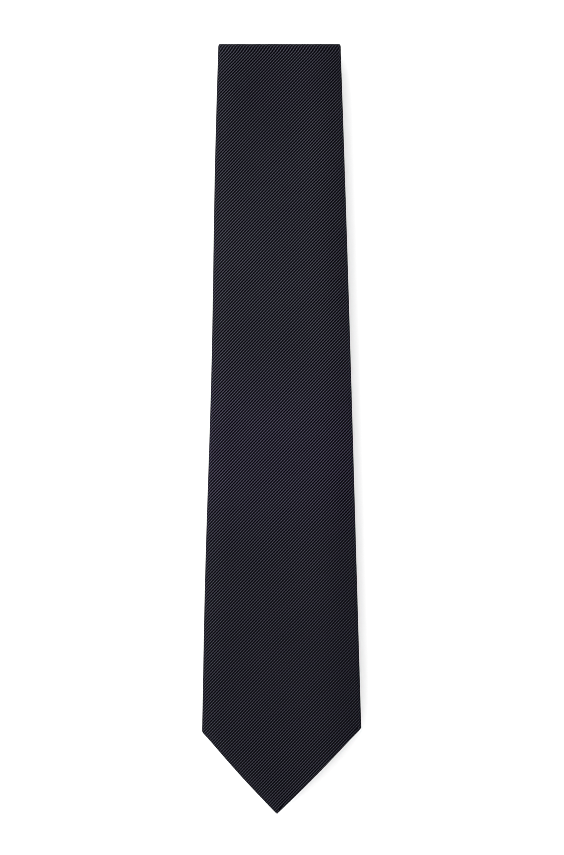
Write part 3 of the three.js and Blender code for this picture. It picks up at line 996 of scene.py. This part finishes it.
def back_grid(node, row_count, column_count, grow=(0.0, 0.0)):
    """A grid of places over a CAD node on the blade's back. grow is extra at its low and high s."""
    low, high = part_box(node)
    along = np.linspace(low.y - BLADE_POINT - grow[0], high.y - BLADE_POINT + grow[1], row_count)
    across = np.linspace(low.x, high.x, column_count)
    s, x = np.meshgrid(along, across, indexing="ij")
    return s, x


def edge_share(s, x):
    """0 at a grid's outline, rising round to 1 inside it."""
    from_side = np.minimum(x - x.min(), x.max() - x)
    from_end = np.minimum(s - s.min(), s.max() - s)
    near = np.clip(np.minimum(from_side, from_end) / EDGE_ROUND, 0, 1)
    return np.sqrt(1 - (1 - near) ** 2)


def close_in(values, step):
    """Adds a place a little inside each end of a run of places."""
    return np.sort(np.concatenate([values, [values[0] + step, values[-1] - step]]))


def back_piece(name, node, thickness, clear, rise, rows_columns, material, grow=(0.0, 0.0)):
    """A flat piece on the blade's back, standing clear of it by clear, and by rise more amid."""
    s, x = back_grid(node, *rows_columns, grow)
    along = close_in(close_in(s[:, 0], 0.2 * EDGE_ROUND), EDGE_ROUND)
    across = close_in(close_in(x[0], 0.2 * EDGE_ROUND), EDGE_ROUND)
    s, x = np.meshgrid(along, across, indexing="ij")
    round_edge = edge_share(s, x)
    amid = ease(np.minimum(x - x.min(), x.max() - x), *RISE_RANGE)
    middle = BACK - clear - thickness / 2 - rise * amid
    half = thickness / 2 * round_edge
    piece = slab(name, s, x, middle - half, middle + half, material)
    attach(piece, "blade")
    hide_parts(node)
    return piece


KEEPER_THICKNESS = 0.00055
LABEL_THICKNESS = 0.00026
TAPE_THICKNESS = 0.0002
TAG_CAUGHT = 0.003  # of the tape, under the keeper
KEEPER_CUT = (0.050, 0.012)
LABEL_HALF = [(high - low) / 2 for low, high in zip(*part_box("label"))][:2]
LABEL_CENTRE = (0.0, sum(corner.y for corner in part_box("label")) / 2 - BLADE_POINT)
TAG_HALF = [(high - low) / 2 for low, high in zip(*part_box("care_tag"))][:2]
TAG_CENTRE = (0.0, sum(corner.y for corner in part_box("care_tag")) / 2 - BLADE_POINT)
LABEL_WEAVE = label_weave("woven_label", *LABEL_COLOURS, LABEL_HALF, LABEL_CENTRE)
TAG_WEAVE = label_weave("tape", *TAPE_COLOURS, TAG_HALF, TAG_CENTRE)

keeper = back_piece("keeper_band", "keeper_loop", KEEPER_THICKNESS, clear=0.00006, rise=0.00055,
                    rows_columns=(9, 41), material=TWILL)
label = back_piece("woven_label", "label", LABEL_THICKNESS, clear=0.00004, rise=0.00012,
                   rows_columns=(12, 24), material=LABEL_WEAVE)
tag = back_piece("care_tape", "care_tag", TAPE_THICKNESS, clear=0.00004, rise=0.00010,
                 rows_columns=(12, 14), material=TAG_WEAVE, grow=(0.0, TAG_CAUGHT))

# %% [markdown]
# ## Sewing
#
# Every row of stitches comes from one Geometry Nodes tree. It takes a path with an outward
# direction at each place, spaces points along it, and puts a small arch of thread on each. The
# inputs set the spacing, the stitch's length, the thread's radius, the arch's rise and the turn of
# each stitch against its row.

# %% Stitch tree
ARCH_STEPS = 4
THREAD_SIDES = 6
FACES_PER_STITCH = ARCH_STEPS * THREAD_SIDES + 2  # its sides and its two ends


def add_node(tree, kind, links=(), **settings):
    """Adds a node to a tree. links are (input, value or output) pairs."""
    node = tree.nodes.new(kind)
    for key, value in settings.items():
        setattr(node, key, value)
    for name, value in links:
        if hasattr(value, "is_output"):
            tree.links.new(value, node.inputs[name])
        else:
            node.inputs[name].default_value = value
    return node


def stitch_tree():
    tree = bpy.data.node_groups.new("stitch_row", "GeometryNodeTree")
    face = tree.interface
    face.new_socket("Path", in_out="INPUT", socket_type="NodeSocketGeometry")
    for name in ("Spacing", "Stitch Length", "Thread Radius", "Rise", "Turn"):
        face.new_socket(name, in_out="INPUT", socket_type="NodeSocketFloat")
    face.new_socket("Material", in_out="INPUT", socket_type="NodeSocketMaterial")
    face.new_socket("Stitches", in_out="OUTPUT", socket_type="NodeSocketGeometry")
    given = add_node(tree, "NodeGroupInput").outputs
    path = add_node(tree, "GeometryNodeMeshToCurve", [("Mesh", given["Path"])])
    points = add_node(tree, "GeometryNodeResampleCurve",
                      [("Curve", path.outputs[0]), ("Length", given["Spacing"])], mode="LENGTH")
    outward = add_node(tree, "GeometryNodeInputNamedAttribute", [("Name", "outward")],
                       data_type="FLOAT_VECTOR")
    tangent = add_node(tree, "GeometryNodeInputTangent")
    upright = add_node(tree, "FunctionNodeAxesToRotation",
                       [("Primary Axis", outward.outputs[0]), ("Secondary Axis", tangent.outputs[0])],
                       primary_axis="Z", secondary_axis="X")
    turn = add_node(tree, "ShaderNodeCombineXYZ", [("Z", given["Turn"])])
    turned = add_node(tree, "FunctionNodeRotateRotation",
                      [("Rotation", upright.outputs[0]), ("Rotate By", turn.outputs[0])],
                      rotation_space="LOCAL")
    half = add_node(tree, "ShaderNodeMath", [(0, given["Stitch Length"]), (1, 0.5)],
                    operation="MULTIPLY")
    back = add_node(tree, "ShaderNodeMath", [(0, half.outputs[0]), (1, -1.0)], operation="MULTIPLY")
    under = add_node(tree, "ShaderNodeMath", [(0, given["Thread Radius"]), (1, -1.0)],
                     operation="MULTIPLY")
    start = add_node(tree, "ShaderNodeCombineXYZ", [("X", back.outputs[0]), ("Z", under.outputs[0])])
    middle = add_node(tree, "ShaderNodeCombineXYZ", [("Z", given["Rise"])])
    end = add_node(tree, "ShaderNodeCombineXYZ", [("X", half.outputs[0]), ("Z", under.outputs[0])])
    arch = add_node(tree, "GeometryNodeCurveQuadraticBezier",
                    [("Resolution", ARCH_STEPS), ("Start", start.outputs[0]),
                     ("Middle", middle.outputs[0]), ("End", end.outputs[0])])
    round_thread = add_node(tree, "GeometryNodeCurvePrimitiveCircle",
                            [("Resolution", THREAD_SIDES), ("Radius", given["Thread Radius"])])
    stitch = add_node(tree, "GeometryNodeCurveToMesh",
                      [("Curve", arch.outputs[0]), ("Profile Curve", round_thread.outputs[0]),
                       ("Fill Caps", True)])
    placed = add_node(tree, "GeometryNodeInstanceOnPoints",
                      [("Points", points.outputs[0]), ("Instance", stitch.outputs[0]),
                       ("Rotation", turned.outputs[0])])
    real = add_node(tree, "GeometryNodeRealizeInstances", [("Geometry", placed.outputs[0])])
    coloured = add_node(tree, "GeometryNodeSetMaterial",
                        [("Geometry", real.outputs[0]), ("Material", given["Material"])])
    add_node(tree, "NodeGroupOutput", [(0, coloured.outputs[0])])
    identifiers = {item.name: item.identifier for item in face.items_tree if item.in_out == "INPUT"}
    return tree, identifiers


STITCH_TREE, STITCH_INPUT = stitch_tree()


def stitch_row(name, body, paths, replaced=(), **sizes):
    """Rows of stitches along paths. Each path is (places, outward directions)."""
    points, edge_list, outward = [], [], []
    for places, directions in paths:
        first = len(points)
        points += [tuple(place) for place in places]
        outward += [tuple(direction) for direction in directions]
        edge_list += [(i, i + 1) for i in range(first, len(points) - 1)]
    mesh = bpy.data.meshes.new(name)
    mesh.from_pydata(points, edge_list, [])
    attribute = mesh.attributes.new("outward", "FLOAT_VECTOR", "POINT")
    attribute.data.foreach_set("vector", np.array(outward, np.float32).ravel())
    piece = bpy.data.objects.new(name, mesh)
    scene.collection.objects.link(piece)
    modifier = piece.modifiers.new("stitch_row", "NODES")
    modifier.node_group = STITCH_TREE
    modifier[STITCH_INPUT["Material"]] = THREAD
    for key, value in sizes.items():
        modifier[STITCH_INPUT[key.replace("_", " ")]] = value
    settle(piece)
    smooth(piece, 60)
    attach(piece, body)
    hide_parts(*replaced)
    print(name, len(piece.data.polygons) // FACES_PER_STITCH, "stitches")
    return piece


PROBE = 0.001  # how far off a path its outward direction is measured


def on_tie(s, x, h):
    """A path on the back of the tie, with its outward directions."""
    places = lay(s, x, h)
    directions = lay(s, x, h - PROBE) - places
    return places, directions / np.linalg.norm(directions, axis=1, keepdims=True)


# %% Slip stitches and bar tacks
SEW_START = 0.004  # clear of a bar tack or a fold
TACK_HALF = half_width("blade_bar_tack")
TACK_STEP = 0.0008  # from an apex to the middle of its tack
TACK_LIFT = 0.00008


def flap_edge(start, end):
    """The left flap's edge on the back, where it laps over the right one."""
    s = np.linspace(start, end, 60)
    left, right = edges(s)
    return on_tie(s, (left + right) / 2 + LAP_OVER * overlap(s), np.full_like(s, BACK))


def slip_stitches(name, body, node, start, end):
    return stitch_row(name, body, [flap_edge(start, end)], [node], Spacing=0.0085,
                      Stitch_Length=0.0017, Thread_Radius=0.00014, Rise=0.0003, Turn=math.radians(62))


def bar_tack(name, body, node, s_tack):
    x = np.linspace(-TACK_HALF, TACK_HALF, 5)
    left, right = edges(s_tack)
    path = on_tie(np.full_like(x, s_tack), x + (left + right) / 2, np.full_like(x, BACK - TACK_LIFT))
    return stitch_row(name, body, [path], [node], Spacing=0.00042, Stitch_Length=0.0019,
                      Thread_Radius=0.0002, Rise=0.0006, Turn=math.radians(84))


for name, body, node, start, end in (
    ("blade_slip_stitches", "blade", "blade_slip_stitch", BLADE_APEX, S_TOP),
    ("front_slip_stitches", "front_neck", "neck_slip_stitch_front", S_FRONT, S_NECK),
    ("rear_slip_stitches", "rear_neck", "neck_slip_stitch_rear", S_REAR, S_TAIL),
    ("tail_slip_stitches", "tail", "tail_slip_stitch", S_LAST, TAIL_APEX),
):
    slip_stitches(name, body, node, start + SEW_START, end - SEW_START)
bar_tack("blade_bar_tack_sewing", "blade", "blade_bar_tack", BLADE_APEX + TACK_STEP)
bar_tack("tail_bar_tack_sewing", "tail", "tail_bar_tack", TAIL_APEX - TACK_STEP)

# %% Bias seams
SEAM_DEPTH = 0.00034  # of the thread under the cloth's face


def seam_path(base):
    """Round a bias seam, a little below the cloth's face."""
    places, directions = [], []
    for side, zone, t in section_columns():
        at = np.array([base])
        round_cloth = section(at, side, zone, t)[2]
        s = at + side * round_cloth
        x, h, _ = section(s, side, zone, t)
        turn = {"front": 0.0, "roll": math.pi * (1 - t), "back": math.pi}[zone]
        out_x, out_h = side * math.sin(turn), math.cos(turn)
        place = lay(s, x - SEAM_DEPTH * out_x, h - SEAM_DEPTH * out_h)
        outer = lay(s, x + PROBE * out_x, h + PROBE * out_h)
        places.append(place[0])
        directions.append((outer - place)[0] / np.linalg.norm(outer - place))
    return places, directions


def bias_seam(name, body, node, base):
    return stitch_row(name, body, [seam_path(base)], [node], Spacing=0.0016, Stitch_Length=0.0013,
                      Thread_Radius=0.00011, Rise=0.00028, Turn=0.0)


bias_seam("front_bias_seam", "front_neck", "bias_seam_front", FRONT_SEAM)
bias_seam("rear_bias_seam", "rear_neck", "bias_seam_rear", REAR_SEAM)

# %% Hems, keeper, label and tape
PICK_SPACING = 0.0032
HEM_CATCH = 0.0007  # outside the opening's edge
HEM_CLEAR = 0.003  # from the corner of a hem
APEX_CLEAR = 0.004
END_CLEAR = 0.001  # from the corners of a band or label
KEEPER_INSET = 0.0004
LABEL_INSET = 0.0009


def opening_path(start, end, side):
    """Just outside an opening's edge, where the hem is caught to the lining."""
    s = np.linspace(start, end, 60)
    x = section(s, side, "back", 0.0)[0] + side * HEM_CATCH
    return on_tie(s, x, np.full_like(s, BACK))


def hem_picks(name, body, start, end):
    paths = [opening_path(start, end, side) for side in (-1, 1)]
    return stitch_row(name, body, paths, Spacing=PICK_SPACING, Stitch_Length=0.001,
                      Thread_Radius=0.0001, Rise=0.00022, Turn=math.radians(20))


def ends_path(node, inset, side, height):
    """Across one short end of a piece on the blade's back."""
    low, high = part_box(node)
    s = np.linspace(low.y - BLADE_POINT + END_CLEAR, high.y - BLADE_POINT - END_CLEAR, 6)
    x = np.full_like(s, (high.x if side > 0 else low.x) - side * inset)
    return on_tie(s, x, np.full_like(s, BACK - height))


BLADE_HEM_START = BLADE_HEM * math.hypot(BLADE_HALF, S_SHOULDER) / BLADE_HALF + HEM_CLEAR
TAIL_HEM_START = TAIL_HEM * math.hypot(TAIL_HALF, S_END - S_TAIL_SHOULDER) / TAIL_HALF + HEM_CLEAR
hem_picks("blade_hem_picks", "blade", BLADE_HEM_START, BLADE_APEX - APEX_CLEAR)
hem_picks("tail_hem_picks", "tail", TAIL_APEX + APEX_CLEAR, S_END - TAIL_HEM_START)
for side, node in ((-1, "keeper_tack_left"), (1, "keeper_tack_right")):
    path = ends_path("keeper_loop", KEEPER_INSET, side, KEEPER_THICKNESS * 0.8)
    stitch_row(node + "_sewing", "blade", [path], [node], Spacing=0.0011, Stitch_Length=0.0016,
               Thread_Radius=0.00014, Rise=0.0004, Turn=math.radians(78))
label_ends = [ends_path("label", LABEL_INSET, side, LABEL_THICKNESS) for side in (-1, 1)]
stitch_row("label_sewing", "blade", label_ends, Spacing=0.0016, Stitch_Length=0.0011,
           Thread_Radius=0.0001, Rise=0.0002, Turn=math.radians(70))

# %% [markdown]
# ## Cut sizes
#
# The size that each cloth, core, lining, band, label and tape is cut to before it is folded is
# printed. The cut sizes come from the tie's own length and widths.


def declare_folded(piece, widest, length, held="folded", rests_on=()):
    """Prints a piece's cut width and length."""
    print(piece.name, "cut", round(widest * 1000), "x", round(length * 1000), "mm")


NECK_CUT = 4.2  # half widths, for the front, the back and the laps
NECK_CORE_CUT = 2.2
SEAM_REACH = 0.9  # share of the top fold's width that the front seam's slant adds

blade_length = FRONT_SEAM + 2 * TOP_HALF * SEAM_REACH
neck_length = REAR_SEAM - FRONT_SEAM + 4 * NECK_HALF
neck_core_length = REAR_SEAM - FRONT_SEAM + 2 * NECK_HALF
tail_length = S_END - REAR_SEAM + 2 * NECK_HALF
declare_folded(blade_cloth, 4 * BLADE_HALF, blade_length, rests_on=["neck_cloth"])
declare_folded(neck_cloth, NECK_CUT * NECK_HALF, neck_length, rests_on=["tail_cloth"])
declare_folded(tail_cloth, 4 * TAIL_HALF, tail_length, rests_on=["table"])
declare_folded(blade_core, 2 * BLADE_HALF, FRONT_SEAM, rests_on=["blade_cloth"])
declare_folded(neck_core, NECK_CORE_CUT * NECK_HALF, neck_core_length, rests_on=["neck_cloth"])
declare_folded(tail_core, 2 * TAIL_HALF, S_END - REAR_SEAM, rests_on=["tail_cloth"])
declare_folded(blade_lining, 2 * BLADE_HALF, BLADE_APEX + LINING_TUCK, "laid", ["blade_core"])
declare_folded(tail_lining, 2 * TAIL_HALF, S_END - TAIL_APEX + LINING_TUCK, "laid", ["tail_core"])
declare_folded(keeper, *KEEPER_CUT, "stretched", ["blade_cloth"])
declare_folded(label, 2 * LABEL_HALF[0], 2 * LABEL_HALF[1], "laid", ["blade_cloth"])
declare_folded(tag, 2 * TAG_HALF[0], 2 * TAG_HALF[1] + TAG_CAUGHT, "laid", ["blade_cloth"])

# %% [markdown]
# ## The table and the light
#
# A pale table, a wide soft light from the upper left and an even sky keep the shadows short and
# soft, so the dark cloth shows its own relief.

# %% Table and lights
TABLE_SIZE = 6.0
TABLE_TOP = -0.0001  # a hair under the tie
WINDOW_PLACE = (-1.1, 0.62, 2.0)
WINDOW_SIZE = 0.9
WINDOW_POWER = 19.0  # watts
SKY_STRENGTH = 1.71
SKY_FROM_LEFT = 0.13  # how much brighter the sky is on the left than overhead, and darker on the right
SKY_FROM_TOP = 0.10


def flat_finish(name, colour, roughness):
    nodes = Nodes(name)
    speckle = nodes.noise(nodes.object_place(), 40.0)
    shade = nodes.mix(speckle, colour, tuple(0.99 * value for value in colour[:3]) + (1,))
    return nodes.finish(shade, nodes.scaled(speckle, 0.02, roughness))


def make_table():
    edge = TABLE_SIZE / 2
    mesh = bpy.data.meshes.new("table")
    around = ((-edge, -edge), (edge, -edge), (edge, edge), (-edge, edge))
    corners = [(x, y, TABLE_TOP) for x, y in around]
    mesh.from_pydata(corners, [], [(0, 1, 2, 3)])
    mesh.materials.append(flat_finish("table_top", (0.9, 0.9, 0.9, 1), 0.9))
    table = bpy.data.objects.new("table", mesh)
    scene.collection.objects.link(table)


def make_light(name, place, size, power):
    data = bpy.data.lights.new(name, "AREA")
    data.size = size
    data.energy = power
    light = bpy.data.objects.new(name, data)
    light.location = place
    light.rotation_euler = (-Vector(place)).to_track_quat("-Z", "Y").to_euler()
    scene.collection.objects.link(light)


make_table()
make_light("window", WINDOW_PLACE, WINDOW_SIZE, WINDOW_POWER)


def make_sky():
    sky = bpy.data.worlds.new("sky")
    sky.use_nodes = True
    tree = sky.node_tree
    way = tree.nodes.new("ShaderNodeTexCoord").outputs["Generated"]
    tilt = tree.nodes.new("ShaderNodeVectorMath")
    tilt.operation = "DOT_PRODUCT"
    tree.links.new(way, tilt.inputs[0])
    tilt.inputs[1].default_value = (-SKY_FROM_LEFT, SKY_FROM_TOP, 0)
    strength = tree.nodes.new("ShaderNodeMath")
    strength.operation = "MULTIPLY_ADD"
    tree.links.new(tilt.outputs["Value"], strength.inputs[0])
    strength.inputs[1].default_value = SKY_STRENGTH
    strength.inputs[2].default_value = SKY_STRENGTH
    background = tree.nodes["Background"]
    background.inputs["Color"].default_value = (1, 1, 1, 1)
    tree.links.new(strength.outputs[0], background.inputs["Strength"])
    scene.world = sky


make_sky()

# %% [markdown]
# The ribs are very fine in the whole view, so the picture is kept crisp: a plain colour transform, a
# narrow filter, and noise removed without first blurring the cloth's own pattern.

# %% A crisp picture
scene.view_settings.view_transform = "Standard"
scene.cycles.filter_width = 0.8
scene.cycles.use_denoising = True
scene.cycles.denoising_prefilter = "NONE"
